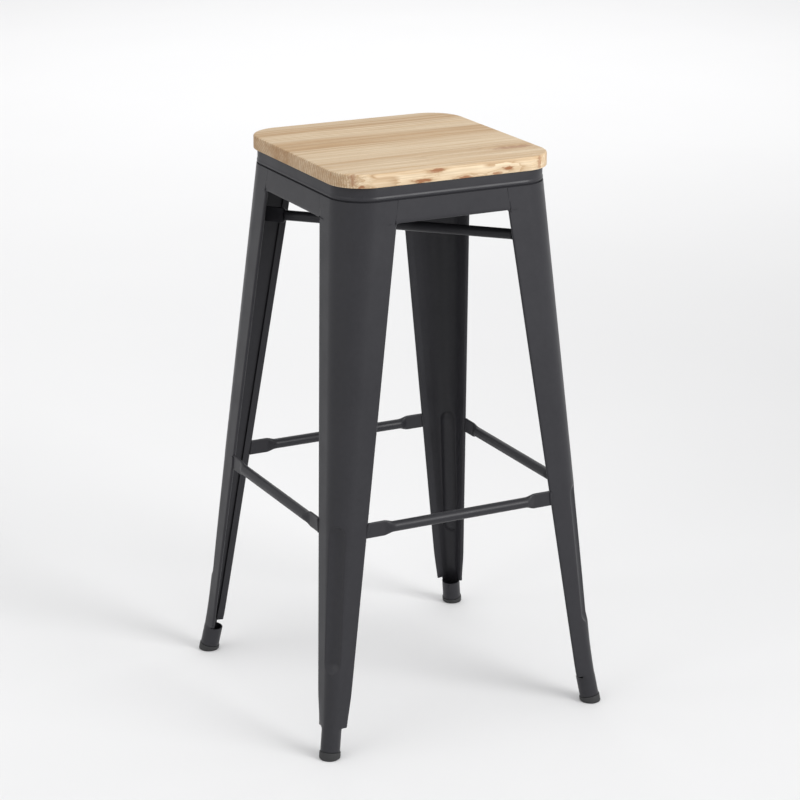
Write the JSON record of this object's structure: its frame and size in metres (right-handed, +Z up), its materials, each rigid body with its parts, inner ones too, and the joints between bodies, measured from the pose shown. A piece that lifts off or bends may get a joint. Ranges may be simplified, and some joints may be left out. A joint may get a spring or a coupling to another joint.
{
  "type": "bar stool",
  "caption": "Backless bar stool with a square wooden seat, splayed pressed-steel legs and a footrest bar on every side.",
  "frame": {"origin": "on the floor, under the middle of the seat", "axes": "+Z up; the seat's edges run along X and Y, the wood's grain runs along X, and the front is -Y"},
  "size_m": [0.4252, 0.4252, 0.76],
  "materials": {
    "frame_steel": "dark grey powder coat, satin",
    "foot_rubber": "black moulded rubber, matte",
    "screw_steel": "zinc-plated",
    "seat_wood": "glued softwood boards under clear satin lacquer"
  },
  "bodies": {
    "root": {"leg_rear_right": "frame_steel", "rubber_foot_rear_right": "foot_rubber", "leg_rear_left": "frame_steel", "rubber_foot_rear_left": "foot_rubber", "leg_front_left": "frame_steel", "rubber_foot_front_left": "foot_rubber", "leg_front_right": "frame_steel", "rubber_foot_front_right": "foot_rubber", "apron_rear": "frame_steel", "footrest_bar_rear": "frame_steel", "apron_left": "frame_steel", "footrest_bar_left": "frame_steel", "apron_front": "frame_steel", "footrest_bar_front": "frame_steel", "apron_right": "frame_steel", "footrest_bar_right": "frame_steel", "footrest_welds": "frame_steel", "brace_lower": "frame_steel", "brace_upper": "frame_steel", "brace_welds": "frame_steel", "seat_pan": "frame_steel", "seat_screws": "screw_steel", "seat_board_front": "seat_wood", "seat_board_middle_front": "seat_wood", "seat_board_middle_rear": "seat_wood", "seat_board_rear": "seat_wood"}
  },
  "joints": []
}
